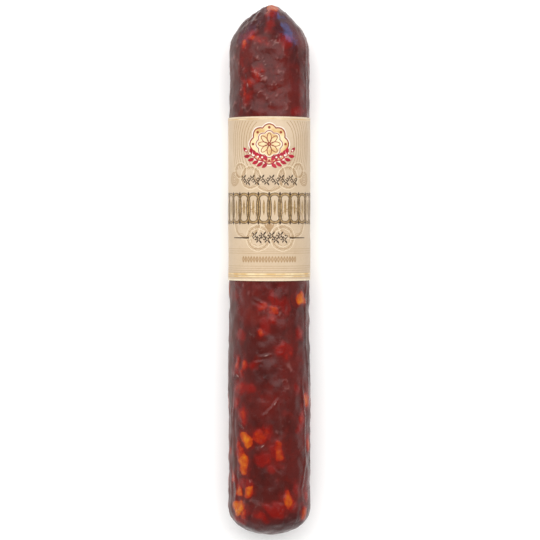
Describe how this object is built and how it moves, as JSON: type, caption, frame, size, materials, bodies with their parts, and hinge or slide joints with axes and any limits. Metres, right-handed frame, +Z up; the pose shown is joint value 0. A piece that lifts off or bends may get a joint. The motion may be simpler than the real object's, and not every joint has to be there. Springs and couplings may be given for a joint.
{
  "type": "cured sausage",
  "caption": "Stuffed cured sausage in a glossy dark casing, one end pointed and one blunt, each gathered and clipped, with a printed paper band round its upper part.",
  "frame": {"origin": "on the table under the middle of the sausage, at the bottom centre of its box", "axes": "+Y along the sausage towards its labelled, pointed end; +Z up from the flat strip that it rests on; +X across"},
  "size_m": [0.047, 0.3, 0.0451],
  "materials": {
    "casing": "glossy, moist, lumpy over pieces of fat",
    "label_paper": "satin coated paper, printed",
    "clip_wire": "drawn and crimped, half bright"
  },
  "bodies": {
    "root": {"sausage": "casing", "label_band": "label_paper", "upper_end_clip": "clip_wire", "lower_end_clip": "clip_wire"}
  },
  "joints": []
}
